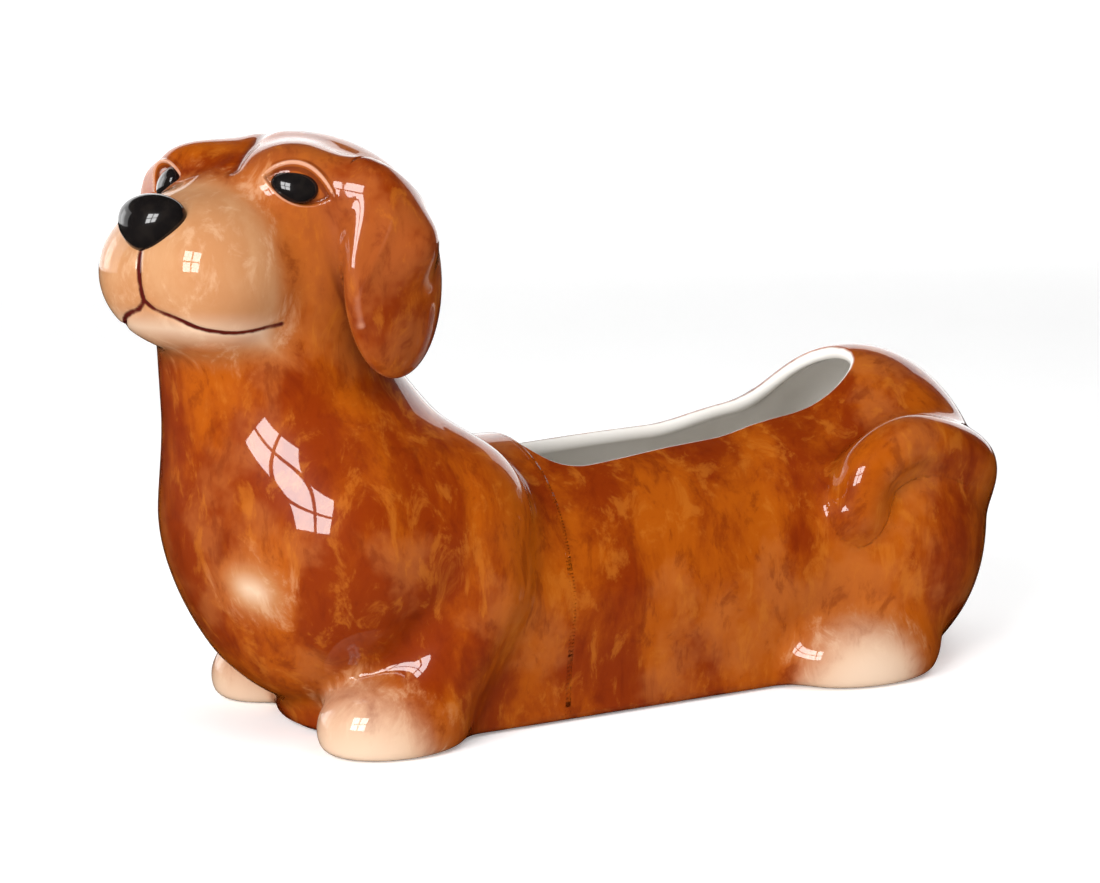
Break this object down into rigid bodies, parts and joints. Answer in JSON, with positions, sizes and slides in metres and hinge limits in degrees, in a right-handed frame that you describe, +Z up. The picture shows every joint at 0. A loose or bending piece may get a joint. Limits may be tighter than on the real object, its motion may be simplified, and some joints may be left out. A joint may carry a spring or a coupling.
{
  "type": "dog-shaped ceramic planter",
  "caption": "Glazed earthenware planter in the shape of a standing dachshund, its long back open as a trough.",
  "frame": {"origin": "middle of the box's bottom, on the surface that the planter stands on", "axes": "+Z up; the dog lies along X and faces -X, its tail end is +X, and its left side, to which the head is turned, is -Y"},
  "size_m": [0.2606, 0.1008, 0.1469],
  "materials": {
    "brown_glaze": "hand-brushed reddish brown underglaze beneath a thick, clear, glossy glaze; cream inside the trough",
    "tan_glaze": "brown fading to pale tan at the paws, clear glossy glaze",
    "black_glaze": "glossy black"
  },
  "bodies": {
    "root": {"body_shell": "brown_glaze", "head_shell": "brown_glaze", "ear_left": "brown_glaze", "ear_right": "brown_glaze", "nose": "black_glaze", "eye_left": "black_glaze", "eye_right": "black_glaze", "front_leg_left": "tan_glaze", "front_leg_right": "tan_glaze", "hind_leg_left": "tan_glaze", "hind_leg_right": "tan_glaze", "tail": "brown_glaze"}
  },
  "joints": []
}
